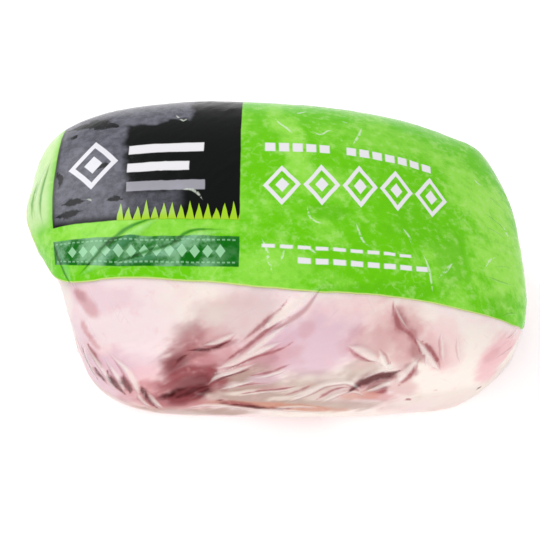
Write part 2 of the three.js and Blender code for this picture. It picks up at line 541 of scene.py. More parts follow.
def path_dots(maker, given):
    """Closely spaced points along all flat paths, with the tapered size of the path at each."""
    inputs = {"Curve": solid_of(maker, given["Pleats"])}
    bent = maker.add("GeometryNodeCurveSplineType", inputs, spline_type="CATMULL_ROM").outputs[0]
    inputs = {"Curve": bent, "Length": PATH_STEP}
    even = maker.add("GeometryNodeResampleCurve", inputs, mode="LENGTH").outputs[0]
    share = maker.add("GeometryNodeSplineParameter").outputs["Factor"]
    taper = maker.inside(share, PATH_TAPER, 1 - PATH_TAPER, PATH_TAPER)
    size = maker.times(taper, maker.add("GeometryNodeInputRadius").outputs[0])
    even = stored(maker, even, "fold", size)
    return maker.add("GeometryNodeCurveToPoints", {"Curve": even}, mode="EVALUATED").outputs


def nearest_path(maker, dots, layer):
    """The nearest path of a layer at each point of a skin: size, distance, and distance to its left."""
    level = (0, 0, PATH_LAYERS.index(layer) * LAYER_STEP)
    here = maker.vector("ADD", flat_place(maker), level)
    inputs = {"Geometry": dots["Points"], "Sample Position": here}
    nearest = maker.add("GeometryNodeSampleNearest", inputs).outputs[0]

    def there(value, data_type):
        inputs = {"Geometry": dots["Points"], "Value": value, "Index": nearest}
        return maker.add("GeometryNodeSampleIndex", inputs, data_type=data_type).outputs[0]

    offset = maker.vector("SUBTRACT", here, there(position(maker), "FLOAT_VECTOR"))
    across = maker.vector("CROSS_PRODUCT", there(dots["Tangent"], "FLOAT_VECTOR"), offset)
    return there(named(maker, "fold"), "FLOAT"), maker.vector("LENGTH", offset), maker.separate(across)[2]


def fold_side(maker, across, reach):
    """Place across a fold: 0 on its crest, 1 at its gentle foot and -1 at its steep foot."""
    gentle = maker.over(across, maker.times(reach, GENTLE))
    steep = maker.over(across, maker.times(reach, STEEP))
    return maker.smallest(gentle, steep)


def fold_profile(maker, side):
    """Height share of a fold: 1 on its crest, rounded off to 0 at both feet."""
    fall = maker.largest(maker.minus(1.0, maker.times(side, side)), 0.0)
    return maker.times(fall, fall)


def folded(maker, given, skin, layers):
    """Lifts pleats along their paths and small wrinkles between them, and notes where each fold runs."""
    dots = path_dots(maker, given)
    flat = flat_place(maker)
    drift = maker.wander(flat, DRIFT_SCALE, FOLD_DRIFT)
    rises = []
    for layer in layers:
        fold, distance, across = nearest_path(maker, dots, layer)
        across = maker.plus(across, drift)
        noted = maker.combine(maker.times(across, 1 / MM), maker.times(distance, 1 / MM), fold)
        skin = stored(maker, skin, "fold_" + layer, noted, "FLOAT_VECTOR")
        if layer in RAISED_FOLDS:
            reach = maker.math("MULTIPLY_ADD", fold, given["Pleat reach"], LEAST_REACH)
            profile = fold_profile(maker, fold_side(maker, across, reach))
            rises.append(maker.times(profile, fold))
    rise = maker.times(blurred(maker, maker.largest(*rises), PLEAT_ROUNDS), given["Pleat height"])
    small = maker.times(wrinkles(maker, flat), given["Crinkle"])
    return lifted(maker, skin, maker.plus(rise, small))


def streaked(maker, given, skin, layers):
    """Notes how far each point is from the streaks of some layers, in half widths of the streak."""
    dots = path_dots(maker, given)
    for layer in layers:
        half, distance, _ = nearest_path(maker, dots, layer)
        width = maker.math("MULTIPLY_ADD", half, MM, LEAST_REACH)
        ratio = maker.smallest(maker.over(distance, width), STREAK_LIMIT)
        skin = stored(maker, skin, "streak_" + layer, ratio)
    return skin


def fold_place(maker, layer, pleat_reach):
    """Place across the folds of a layer, and how plainly they show there."""
    across, distance, fold = maker.separate(maker.attribute("fold_" + layer, "Vector"))
    reach = maker.math("MULTIPLY_ADD", fold, pleat_reach / MM, LEAST_REACH / MM)
    away = maker.math("MULTIPLY_ADD", reach, -MARK_REACH, distance)
    full = FULL_FOLD if layer in RAISED_FOLDS else FULL_CREASE
    size = maker.smallest(maker.over(fold, full), 1.0)
    return fold_side(maker, across, reach), maker.times(maker.step(away, *MARK_FADE), size)


def fold_lines(maker, pleat_reach):
    """Along the pleats: the ridge, its thin crest and the crease beside its steep side, each 0 to 1."""
    ridges, crests, creases = [], [], []
    for layer in RAISED_FOLDS:
        side, near = fold_place(maker, layer, pleat_reach)
        ridges.append(maker.times(fold_profile(maker, side), near))
        crests.append(maker.times(maker.inside(side, *CREST), near))
        creases.append(maker.times(maker.inside(side, *CREASE), near))
    return maker.largest(*ridges), maker.largest(*crests), maker.largest(*creases)


def fine_lines(maker, layer, pleat_reach):
    """1 along the thin lines of a layer."""
    side, near = fold_place(maker, layer, pleat_reach)
    return maker.times(maker.inside(side, *FINE_LINE), near)


def wrinkles(maker, flat):
    """Height share of fine wrinkles that run steeply at the left end and aslant elsewhere, in patches."""
    spot = maker.scaled(flat, 1 / MM)
    fields = []
    for slope in WRINKLE_SLOPES:
        stretched = maker.vector("MULTIPLY", maker.turned(spot, slope), WRINKLE_GRAIN)
        fields.append(maker.step(maker.winding(stretched, *WRINKLE_NOISE), *WRINKLE_RIDGE))
    steep, slanted = fields
    share = maker.step(maker.separate(spot)[0], *WRINKLE_CHANGE)
    both = maker.plus(maker.times(steep, maker.minus(1.0, share)), maker.times(slanted, share))
    return maker.times(both, maker.cloud(spot, **WRINKLE_PATCHES))


def bumped(maker, ridge, grain):
    """Normal of a skin with its folds and a fine grain."""
    height = maker.math("MULTIPLY_ADD", grain, GRAIN_SHARE, ridge)
    inputs = {"Height": height, "Strength": BUMP_STRENGTH, "Distance": BUMP_DEPTH}
    return maker.add("ShaderNodeBump", inputs).outputs[0]


def film_tree():
    """The bag: cast onto the solid, smoothed, then pleated and wrinkled."""
    tree, maker, given, result = geometry_tree("Shrink film", SKIN_INPUTS)
    film = streaked(maker, given, wrapped(maker, given), ("clear",))
    finish_tree(maker, folded(maker, given, film, FILM_FOLDS), given, result)
    return tree


def skin_values(sizes, material):
    """Inputs of a skin's tree: each size under its label, the solid, the paths and the material."""
    labels = sizes.bl_rna.properties
    values = {labels[name].name: getattr(sizes, name) for name in SkinSizes.__annotations__}
    return values | {
        "Solid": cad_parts[PACK_NODE],
        "Pleats": bpy.data.objects[PLEAT_GUIDE],
        "Material": material,
    }


# The print, in millimetres along and around the pack: around counts from the girth's front over the top
PRINT_SOFT = 0.25
PRINT_WOBBLE = 0.45
WOBBLE_SCALE = 70
FOOT_LINE = (
    (-110, 84), (-106, 77), (-102, 70.5), (-97.5, 66.4), (-92, 65.2), (-80, 66.4), (-64, 68.4),
    (-32, 67.4), (9, 65), (53, 62.5), (76, 59), (94, 53.5), (106, 43), (109.5, 34), (113, 0),
)
FAR_LINE = ((-112, 128), (-104, 150), (-92, 168), (-70, 176), (0, 177), (70, 177), (94, 179), (113, 205))
PRINT_LEFT = -107.8
# Width of the pale rim, where it ends and where it is full
RIM = (0.8, 0.3)
# The print's edge on the right end, as a height above the floor, and where along the pack it gives way
END_EDGE = 33.5
END_EDGE_FREE = (104, 90, 0.0, 60.0)
PANEL = {"left": -95, "right": -15.4, "foot": 91}
BAND = {"left": -95.5, "right": -15.6, "foot": 73, "head": 84.3}
TEETH = {"left": -66, "pitch": 3.6, "height": 7, "scale": 0.21, "uneven": (0.5, 1.4)}
LOZENGES = {"left": -6.5, "right": 79, "count": 5, "middle": (106, 116.5), "half": (9.3, 12.6)}
LOZENGE_LINE = (0.68, 0.94, 0.02)
LOZENGE_CORE = (0.36, 0.32)
EMBLEM = {"at": (-78, 118.5), "half": (11.5, 13)}
PANEL_BARS = ((123, -63, -31), (114.3, -63, -37))
SILVER_BAR = (105.6, -63, -30)
PANEL_BAR_HALF = 2.1
DASH_SOFT = 0.06
# Rows of white dashes: the line that each follows, the runs that are filled, half height, pitch and share
DASHED_ROWS = (
    {"line": (-6.5, 69, 124, 132), "runs": ((-6, 24), (30, 72)), "half": 2.1, "pitch": 6, "share": 0.74},
    {"line": (-4, 60, 81, 81), "runs": ((-7.5, 60),), "half": 0.7, "pitch": 7.5, "share": 0.72},
    {"line": (-4, 65, 76, 75.5), "runs": ((7.5, 67.5),), "half": 1.1, "pitch": 7.5, "share": 0.72},
)

# Marks of the folds on the film, each with its strength: painted shade in the creases, painted highlights
# on the crests and painted glints; and the gloss of the ink
CREASE_SHADE = (0.9, srgb(84, 158, 84))
CREST_SHEEN = (0.65, srgb(88, 122, 108))
GLINT_SHEEN = (0.6, srgb(234, 243, 226))
GLINT_BREAKS = {"noise": (420,), "step": (0.4, 0.52)}
FINE_CREASE = 0.35
INK_GLOSS = {"Roughness": 0.2, "Specular IOR Level": 0.11}


def film_material(inks, pleat_reach):
    """Glossy ink over most of the bag and clear film along its windows."""
    material, maker, output = new_material("shrink_film")
    place = maker.add("ShaderNodeTexCoord").outputs["Object"]
    along, around = skin_place(maker, place, PRINT_WOBBLE)
    printed, rim = printed_area(maker, along, around, place)
    ink = print_colours(maker, inks, along, around, place)
    ink = maker.blend(rim, ink, inks.edge)
    ridge, crest, crease = fold_lines(maker, pleat_reach)
    # Painted shade in the creases of the folds, painted highlights on their crests, and painted glints
    ink = maker.paint(ink, crease, *CREASE_SHADE, "MULTIPLY")
    ink = maker.paint(ink, crest, *CREST_SHEEN, "SCREEN")
    glint = maker.times(fine_lines(maker, "glints", pleat_reach), maker.cloud(place, **GLINT_BREAKS))
    ink = maker.paint(ink, glint, *GLINT_SHEEN)
    crest = maker.largest(crest, maker.times(fine_lines(maker, "creases", pleat_reach), FINE_CREASE))
    bump = film_bump(maker, along, around, ridge)
    gloss = maker.add("ShaderNodeBsdfPrincipled", INK_GLOSS | {"Base Color": ink, "Normal": bump})
    skin = maker.mixed(printed, clear_film(maker, crest, bump), gloss.outputs[0])
    maker.feed(output.inputs["Surface"], skin)
    material.use_backface_culling = True
    return material


def skin_place(maker, place, wobble):
    """Millimetres along and around the pack, from the skin's own map."""
    uv = maker.add("ShaderNodeUVMap", uv_map=SKIN_UV).outputs[0]
    along, around, _ = maker.separate(maker.scaled(uv, 1 / MM))
    shifted = maker.vector("ADD", place, NOISE_SHIFT)
    along = maker.plus(along, maker.wander(place, WOBBLE_SCALE, wobble))
    around = maker.plus(around, maker.wander(shifted, WOBBLE_SCALE, wobble))
    return along, around


def printed_area(maker, along, around, place):
    """Where the ink is, and its thin pale rim."""
    height = maker.times(maker.separate(place)[2], 1 / MM)
    above_end = maker.plus(maker.minus(height, END_EDGE), maker.step(along, *END_EDGE_FREE))
    above_foot = maker.minus(around, maker.curve(along, FOOT_LINE))
    below_far = maker.minus(maker.curve(along, FAR_LINE), around)
    from_left = maker.minus(along, PRINT_LEFT)
    depth = maker.smallest(above_foot, below_far, from_left, above_end)
    return maker.step(depth, -PRINT_SOFT, PRINT_SOFT), maker.step(depth, *RIM)


def lozenge_reach(maker, along, around, half):
    """Distance from the middle of a lozenge: 1 at its outline."""
    across = maker.over(maker.math("ABSOLUTE", along), half[0])
    up = maker.over(maker.math("ABSOLUTE", around), half[1])
    return maker.plus(across, up)


def lozenge(maker, reach):
    """An outlined lozenge with a small solid one in it."""
    return maker.largest(maker.inside(reach, *LOZENGE_LINE), maker.step(reach, *LOZENGE_CORE))


def bar(maker, along, around, middle, left, right, half):
    """A plain bar between two places along the pack."""
    level = maker.minus(around, middle)
    return maker.times(
        maker.inside(along, left, right, PRINT_SOFT), maker.inside(level, -half, half, PRINT_SOFT)
    )


def above(maker, around, level):
    """1 above a level around the pack."""
    return maker.step(around, level - PRINT_SOFT, level + PRINT_SOFT)


def phase(maker, value, pitch):
    """Share of the way through each pitch, from 0 to 1."""
    return maker.math("FRACT", maker.over(value, pitch))


def dashes(maker, value, pitch, share):
    """A broken line: 1 for a share of every pitch."""
    return maker.inside(phase(maker, value, pitch), (1 - share) / 2, (1 + share) / 2, DASH_SOFT)


def print_colours(maker, inks, along, around, place):
    """All inks, painted one over the other, then a painted reflection and glare over them."""
    ink = lime_field(maker, inks, along, around, place)
    across = maker.inside(along, PANEL["left"], PANEL["right"], PRINT_SOFT)
    ink = maker.blend(maker.times(across, above(maker, around, PANEL["foot"])), ink, inks.charcoal)
    ink = maker.blend(toothed_edge(maker, along, around), ink, inks.spring)
    ink = stitched_band(maker, inks, ink, along, around, place)
    white = maker.largest(*white_marks(maker, along, around))
    ink = maker.blend(white, ink, inks.white)
    silver = bar(maker, along, around, *SILVER_BAR, PANEL_BAR_HALF)
    ink = maker.blend(silver, ink, inks.silver)
    return ink_with_painted_glare(maker, ink, along, around, place)


# Patches of the lime field: ink, strength, place and half size in mm along and around, tilt in degrees
# The frosted patches are partly frosted film and partly a painted sheen of the lights
LIME_PATCHES = (
    ("frost_and_sheen", 0.75, (4, 135), (20, 6), -70),
    ("frost_and_sheen", 0.6, (11, 115), (14, 6), -70),
    ("frost_and_sheen", 0.5, (1, 75), (12, 7), 0),
    ("frost_and_sheen", 0.5, (50, 142), (26, 9), 10),
    ("frost_and_sheen", 1.0, (104, 102), (15, 48), 0),
    ("frost_and_sheen", 0.8, (92, 134), (14, 18), 0),
    ("deep", 0.6, (79, 84), (7, 17), 0),
    ("deep", 0.7, (21, 97), (9, 4), 0),
    ("deep", 0.6, (46, 65), (28, 4), 0),
    ("deep", 0.4, (63, 96), (12, 9), 0),
    ("deep", 0.5, (100, 56), (8, 8), 0),
    ("lime", 0.8, (-9, 118), (6, 28), 0),
    ("lime", 0.8, (24, 150), (17, 8), 0),
    ("frost_and_sheen", 0.6, (-55, 87.5), (42, 4), 0),
)
PATCH_EDGE = 0.38

# Textures of the lime ink: scale, detail and roughness of a noise, and where its mask starts and is full
LIME_CLOUDS = {"noise": (24, 6.0, 0.68), "step": (0.49, 0.6, 0.0, 0.6)}
LIME_EDGES = {"texture": (60, 5.0, 0.7), "reach": 0.6}
# Squiggles: painted highlights on the film's fine crinkles
SQUIGGLE_SCALE = 130
SQUIGGLE_LINE = (0.05, 0.0)
SQUIGGLE_AREAS = {"noise": (42, 3.0), "step": (0.5, 0.6)}
SQUIGGLE_SHEEN = (0.24, srgb(190, 240, 130))
MOTTLE = (230, 3.0, 0.6)
MOTTLE_PALE = (0.5, 0.7, 0.0, 0.4)
MOTTLE_DEEP = (0.5, 0.3, 0.0, 0.3)
MOTTLE_TINT = srgb(186, 236, 130)


def patch(maker, spot, ragged, strength, at, half, tilt):
    """A tilted oval with a ragged edge: its strength inside, 0 outside."""
    middle = (*at, 0)
    offset = maker.vector("SUBTRACT", maker.turned(spot, tilt, middle), middle)
    local = maker.vector("DIVIDE", offset, (*half, 1))
    reach = maker.plus(maker.vector("LENGTH", local), ragged)
    return maker.step(reach, 1 + PATCH_EDGE, 1 - PATCH_EDGE, 0.0, strength)


def lime_field(maker, inks, along, around, place):
    """The lime ink, with deep patches, frosted patches that are partly a painted sheen, thin pale
    squiggles that are painted highlights of crinkles, and a fine mottle.
    """
    ink = maker.blend(maker.cloud(place, **LIME_CLOUDS), inks.lime, inks.frost_and_sheen)
    spot = maker.combine(along, around)
    ragged = maker.ragged(place, **LIME_EDGES)
    for name, *form in LIME_PATCHES:
        ink = maker.blend(patch(maker, spot, ragged, *form), ink, getattr(inks, name))
    lines = maker.step(maker.winding(place, SQUIGGLE_SCALE), *SQUIGGLE_LINE)
    # Painted highlights of crinkles, in patches
    ink = maker.paint(ink, maker.times(lines, maker.cloud(place, **SQUIGGLE_AREAS)), *SQUIGGLE_SHEEN)
    mottle = maker.noise(place, *MOTTLE)
    ink = maker.blend(maker.step(mottle, *MOTTLE_PALE), ink, MOTTLE_TINT)
    return maker.blend(maker.step(mottle, *MOTTLE_DEEP), ink, inks.deep)


def toothed_edge(maker, along, around):
    """Pointed teeth along the foot of the dark panel."""
    swing = maker.math("MULTIPLY_ADD", phase(maker, along, TEETH["pitch"]), 2.0, -1.0)
    noise = maker.noise(maker.combine(along, 0.0), TEETH["scale"])
    height = maker.times(maker.sloped(noise, *NOISE_SPAN, *TEETH["uneven"]), TEETH["height"])
    top = maker.math("MULTIPLY_ADD", maker.math("ABSOLUTE", swing), height, PANEL["foot"])
    teeth = maker.step(maker.minus(around, top), PRINT_SOFT, -PRINT_SOFT)
    row = maker.inside(along, TEETH["left"], PANEL["right"], PRINT_SOFT)
    return maker.times(teeth, above(maker, around, PANEL["foot"]), row)


STITCHES = {"inset": 1.5, "half": 0.28, "pitch": 2.1, "share": 0.6, "strength": 0.55}
BEADS = {"first": -17, "last": -4, "pitch": 5.2, "half": (2.3, 2.6), "strength": 0.75}
BEAD_EDGE = (1.0, 0.85)
BAND_FROST = {"noise": (100, 5.0, 0.65), "step": (0.42, 0.64, 0.0, 0.5)}
# How far from the right end of the band its frost starts and is full, and how much of it there is
BAND_CLEAR = {"from": 3, "to": 16, "share": (0.2, 1.0)}


def stitched_band(maker, inks, ink, along, around, place):
    """A dark band with a running stitch near its edge and a row of small lozenges."""
    left, right, foot, head = (BAND[side] for side in ("left", "right", "foot", "head"))
    middle = (foot + head) / 2
    band = bar(maker, along, around, middle, left, right, (head - foot) / 2)
    ink = maker.blend(band, ink, inks.bottle)
    inset = STITCHES["inset"]
    rows = [bar(maker, along, around, level, left + inset, right - inset, STITCHES["half"])
            for level in (foot + inset, head - inset)]
    broken = dashes(maker, along, STITCHES["pitch"], STITCHES["share"])
    stitches = maker.times(maker.largest(*rows), broken, STITCHES["strength"])
    pitch = BEADS["pitch"]
    off_middle = maker.times(maker.minus(phase(maker, along, pitch), 0.5), pitch)
    reach = lozenge_reach(maker, off_middle, maker.minus(around, middle), BEADS["half"])
    row = maker.inside(along, BEADS["first"] * pitch, BEADS["last"] * pitch, PRINT_SOFT)
    beads = maker.times(maker.step(reach, *BEAD_EDGE), row, BEADS["strength"])
    ink = maker.blend(maker.largest(stitches, beads), ink, inks.mint)
    clear_from, clear_to = right - BAND_CLEAR["from"], right - BAND_CLEAR["to"]
    clearer = maker.step(along, clear_from, clear_to, *BAND_CLEAR["share"])
    return maker.blend(maker.times(band, maker.cloud(place, **BAND_FROST), clearer), ink, inks.mint)


def white_marks(maker, along, around):
    """Bars, dashes and lozenges in white."""
    marks = [bar(maker, along, around, *place, PANEL_BAR_HALF) for place in PANEL_BARS]
    middle_along, middle_around = EMBLEM["at"]
    off_along, off_around = maker.minus(along, middle_along), maker.minus(around, middle_around)
    marks.append(lozenge(maker, lozenge_reach(maker, off_along, off_around, EMBLEM["half"])))
    marks.append(lozenge_row(maker, along, around))
    return marks + [dashed_row(maker, along, around, row) for row in DASHED_ROWS]


def dashed_row(maker, along, around, row):
    """Dashes along a sloping line."""
    level = maker.minus(around, maker.sloped(along, *row["line"]))
    runs = [bar(maker, along, level, 0.0, *run, row["half"]) for run in row["runs"]]
    return maker.times(maker.largest(*runs), dashes(maker, along, row["pitch"], row["share"]))


def lozenge_row(maker, along, around):
    """Lozenges along a sloping line, each a little taller than the one before."""
    left, right = LOZENGES["left"], LOZENGES["right"]
    pitch = (right - left) / LOZENGES["count"]
    off_middle = maker.minus(phase(maker, maker.minus(along, left), pitch), 0.5)
    level = maker.minus(around, maker.sloped(along, left, right, *LOZENGES["middle"]))
    level = maker.over(level, maker.sloped(along, left, right, *LOZENGES["half"]))
    reach = lozenge_reach(maker, maker.times(off_middle, pitch), level, (pitch / 2, 1.0))
    return maker.times(lozenge(maker, reach), maker.inside(along, left, right, PRINT_SOFT))


# Haze of the panel, partly cloudy film and partly a painted reflection of the lights: the places along
# and around where each clouded part starts and is full
HAZE_DRIFTS = ((60, 5), (210, 2.2))
HAZE_SIDE = (-62.5, -66.5)
HAZE_TOP = {"along": (-35.5, -38.5), "around": (137, 140)}
HAZE_LOW = {"along": (-36, -46), "around": (106, 101, 0.0, 0.6)}
HAZE_BOUNDS = {"along": (-95, -93), "around": (91, 95)}
HAZE_GRAIN = {"noise": (260, 5.0, 0.7), "step": (0.34, 0.64, 0.55, 1.0)}
HAZE_SHEEN = (0.225, srgb(222, 222, 244))
# Clear streaks: ragged gaps in the painted reflection on the panel
CLEAR_EDGES = {"texture": (240, 4.0, 0.65), "reach": 0.7}
CLEAR_STEP = (1.6, 0.7, 0.0, 0.95)
# Left end: partly milky film in the gathers and partly painted glare that pales the ink
MILKY_END = {"along": (-93.5, -99, 0.0, 0.64), "around": (89, 99, 0.1, 1.0)}
MILKY_TINT = srgb(232, 247, 200)


def part_of_print(maker, along, around, edges):
    """1 in a part of the print that starts at an edge along and an edge around the pack."""
    return maker.times(maker.step(along, *edges["along"]), maker.step(around, *edges["around"]))


def ink_with_painted_glare(maker, ink, along, around, place):
    """Paints a reflection of the lights with cloudy film over parts of the panel, and paints glare with
    milky gathers at the left end.
    """
    drift = maker.plus(*(maker.wander(place, *size) for size in HAZE_DRIFTS))
    over, up = maker.plus(along, drift), maker.plus(around, drift)
    parts = [part_of_print(maker, over, up, edges) for edges in (HAZE_TOP, HAZE_LOW)]
    sheen_area = maker.largest(maker.step(over, *HAZE_SIDE), *parts)
    within = part_of_print(maker, along, around, HAZE_BOUNDS)
    reach = maker.plus(maker.attribute("streak_clear"), maker.ragged(place, **CLEAR_EDGES))
    hazy = maker.minus(1.0, maker.step(reach, *CLEAR_STEP))
    sheen_and_haze = maker.times(sheen_area, within, maker.cloud(place, **HAZE_GRAIN), hazy)
    # Painted reflection of the lights over the panel
    ink = maker.paint(ink, sheen_and_haze, *HAZE_SHEEN)
    # Painted glare over the milky gathers at the left end
    return maker.blend(part_of_print(maker, along, around, MILKY_END), ink, MILKY_TINT)


# The film's fine crinkles, and its clear part: tint, gloss, and milk on the crests, partly doubled film
# and partly a painted highlight
CRINKLE_NOISE = (1.0, 3.0)
CRINKLE_GRAIN = (1 / 9, 1 / 4, 1)
FILM_TINT = (0.98, 0.98, 0.98)
FILM_SHINE = {"Color": (1, 1, 1), "Roughness": 0.14}
FILM_IOR = 1.35
SHINE_SHARE = 0.28
MILK_TINT = srgb(252, 244, 244)
MILK_SHARE = 0.24


def film_bump(maker, along, around, ridge):
    """Normal of the film with its folds and fine crinkles."""
    turned = maker.turned(maker.combine(along, around), WRINKLE_SLOPES[1])
    crinkles = maker.winding(maker.vector("MULTIPLY", turned, CRINKLE_GRAIN), *CRINKLE_NOISE)
    return bumped(maker, ridge, crinkles)


def clear_film(maker, crest, bump):
    """Clear glossy film, milky along the crests of its pleats, which is partly a painted highlight."""
    clear = maker.add("ShaderNodeBsdfTransparent", {"Color": FILM_TINT}).outputs[0]
    shine = maker.add("ShaderNodeBsdfAnisotropic", FILM_SHINE | {"Normal": bump}).outputs[0]
    milk = maker.add("ShaderNodeBsdfDiffuse", {"Color": MILK_TINT}).outputs[0]
    outside = maker.minus(1.0, maker.add("ShaderNodeNewGeometry").outputs["Backfacing"])
    fresnel = maker.add("ShaderNodeFresnel", {"IOR": FILM_IOR, "Normal": bump}).outputs[0]
    film = maker.mixed(maker.times(fresnel, outside, SHINE_SHARE), clear, shine)
    # Milky crests: partly doubled film and partly a painted highlight
    return maker.mixed(maker.times(crest, MILK_SHARE), film, milk)


class LAMBPACK_OT_film(bpy.types.Operator):
    """Draws the printed shrink film tight over the pack's solid"""

    bl_idname = "lambpack.film"
    bl_label = "Shrink film"

    def execute(self, context):
        sizes = context.scene.lambpack_skin
        material = film_material(context.scene.lambpack_print, sizes.pleat_reach)
        add_pleat_guide(sizes)
        film = plain_mesh("shrink_film", film_tree(), skin_values(sizes, material))
        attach(film, "root")
        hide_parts(PACK_NODE)
        return {"FINISHED"}


# Folds and streaks: their size, then the places that they run through, in millimetres along and around.
# The steep side of a fold is on the right of its path. The size of a streak is half its width in mm.
MAIN_FOLDS = (
    (1.3, ((-9, 47.5), (1, 55), (9, 60.6), (20, 68))),
    (1.1, ((-28, 22.5), (-18, 32), (-11.7, 37.2), (-4, 41.5), (4.6, 46))),
    (0.8, ((-31, 7), (-24, 19.5), (-15, 28), (-6, 33))),
    (1.3, ((28, 43.6), (35.6, 39.1), (45, 30))),
    (1.0, ((1, -10), (9, 1.3), (18.9, 15.5), (27, 18.5), (32.5, 15.5), (39.5, 3))),
    (0.9, ((-48, -24), (-31, -11), (-12, -12.5), (10, -15), (26, -20))),
    (0.9, ((70.5, 26), (64.1, 37.7), (59, 46))),
    (0.9, ((51, 13), (56.1, 26.4), (61.5, 36.5))),
    (0.8, ((-85.4, 40), (-79, 31), (-74.5, 20), (-71.8, 6), (-69.5, -9))),
    (0.9, ((-73, 38), (-65, 27), (-61.5, 13), (-60, -7))),
    (0.8, ((-92, 34), (-91, 18), (-88, 2))),
    (0.7, ((-57, 3), (-53.5, -10), (-49, -20))),
    (1.2, ((-45, 93), (-56, 87.5), (-66, 80.5), (-74, 74), (-85, 67))),
)
CROSSING_FOLDS = (
    (0.7, ((-33, 39.5), (-25, 42.5), (-16, 48.5))),
    (0.75, ((8, 55), (-1, 49), (-11, 40), (-20, 31))),
    (0.6, ((-27, 3), (-16, 13), (-6, 19))),
    (0.75, ((48, 24), (45.2, 33.8), (43, 41))),
    (0.7, ((34, 15.5), (40, 20.5), (46, 24.5), (53, 29))),
    (0.8, ((51, 17.5), (44, 12), (36, 7))),
    (0.7, ((17, -7), (22, 0), (27, 7), (33, 9), (40, 1))),
    (0.7, ((-8, -17), (2, -11), (11, -9), (22, -13))),
    (0.42, ((71.4, 50), (70.7, 41.7), (71, 31))),
    (0.3, ((50, 61), (53.5, 53), (58, 47))),
    (0.32, ((78, 48), (78, 39), (79.5, 29))),
    (0.7, ((-83, 37), (-83, 22), (-81, 8), (-79, -7))),
    (0.7, ((-74, 33), (-69.2, 21), (-67, 9), (-66.6, -6))),
    (0.6, ((-61, -1), (-59, -10), (-55, -21))),
    (0.5, ((-19, -1), (-8, 5), (2, 8), (12, 13))),
    (0.5, ((-13, 18), (-4, 22), (6, 29))),
    (0.45, ((4, -1), (11, 7), (16, 14))),
    (0.9, ((-17, 87), (-34, 84.5), (-43, 79), (-57, 75.5), (-72, 72.5))),
    (0.7, ((-96, 88), (-92, 78), (-87, 67), (-84, 60))),
    (0.5, ((-99.5, 90), (-101.5, 104), (-100.5, 122), (-97.5, 138))),
    (0.45, ((-104.8, 96), (-105.4, 110), (-103, 128))),
)
# Glints: painted highlights of the film, drawn as thin pale lines
GLINTS = (
    (0.3, ((-80.7, 102), (-78, 101), (-79.8, 98.3))),
    (0.42, ((-40, 103), (-36.4, 103.4), (-33.5, 102), (-30.6, 98.6))),
    (0.3, ((-45, 143.5), (-43, 140), (-40.2, 137.3), (-38.7, 140.3))),
    (0.4, ((-1.5, 142), (1, 138.2), (3.2, 136.3), (7.7, 132))),
    (0.4, ((38.6, 145.5), (37, 139.4), (35.4, 136), (33.4, 131.8))),
    (0.3, ((29.4, 147), (33, 145.2))),
    (0.3, ((15.3, 136.1), (19.3, 134.6), (22.8, 137.8), (25.6, 139.1))),
    (0.35, ((6.5, 147.5), (10, 148), (14, 151.4))),
    (0.42, ((-6.8, 84.6), (-4.6, 79.6), (-3.4, 74.6), (-1.6, 70.4))),
    (0.35, ((1.4, 75.4), (3, 79.8))),
    (0.35, ((12.6, 99), (14.1, 93), (19.6, 91.4))),
    (0.38, ((33.4, 94), (35.4, 88), (37, 85), (40.4, 83))),
    (0.35, ((55, 94.6), (58.4, 90), (59.4, 86.4))),
    (0.3, ((11, 82.2), (16.7, 78.6))),
    (0.6, ((71.4, 71.7), (76.4, 76.8), (79.8, 81))),
    (0.35, ((64.4, 84), (67.1, 75.4), (68.3, 64))),
    (0.35, ((92.5, 146), (95, 142), (98.4, 142.6))),
    (0.35, ((95.6, 80), (98, 85), (102, 90))),
    (0.35, ((106, 123), (107.6, 117), (108.8, 110))),
)
# Clear streaks: where the painted reflection on the panel breaks off
CLEAR_STREAKS = (
    (3.0, ((-95, 150), (-90, 148), (-85.5, 146.4), (-78, 144), (-72, 140), (-67, 136.5))),
    (1.0, ((-91.4, 140.6), (-86, 138.8))),
    (0.9, ((-76.5, 116), (-73, 117), (-70.6, 114.6))),
    (1.2, ((-91, 101.4), (-83.7, 101.5), (-79.3, 100.6))),
    (1.5, ((-94, 96), (-87.8, 96.4), (-81, 97))),
    (0.9, ((-71.6, 99.6), (-67.6, 101), (-63.6, 100.3))),
    (0.9, ((-95, 121), (-92, 116), (-92.6, 109))),
)
WINE_STREAKS = (
    (1.3, ((-86, 31), (-84.8, 19), (-83, 8), (-80, -4))),
    (0.9, ((-79.4, 18), (-77.6, 8), (-75, -2))),
    (1.4, ((-72.4, 21), (-70.4, 8), (-68.6, -1), (-66, -10))),
    (1.4, ((-66, 21), (-64.9, 9), (-63.6, -4))),
    (1.1, ((-59.4, 11), (-57.8, 1), (-56, -9), (-51.8, -21))),
    (0.8, ((-39, 35.5), (-33, 36.5), (-28, 38.2), (-20, 43.6))),
    (0.8, ((-38, 33), (-42, 28), (-45, 21.5))),
    (1.5, ((-28, 8), (-34, 4.5), (-40, -1.5), (-48, -9))),
    (1.9, ((29, 8), (36, 14.4), (42.6, 18), (48.5, 21), (54, 27))),
    (0.6, ((-29, 8), (-24.5, 15.5), (-20, 20.5), (-12, 27))),
    (0.9, ((-25.6, -5), (-24.4, -7))),
    (0.5, ((-25, -8), (-12, -10.5), (-1, -12), (12, -11))),
    (0.7, ((89, -4), (91.5, -2.5))),
)
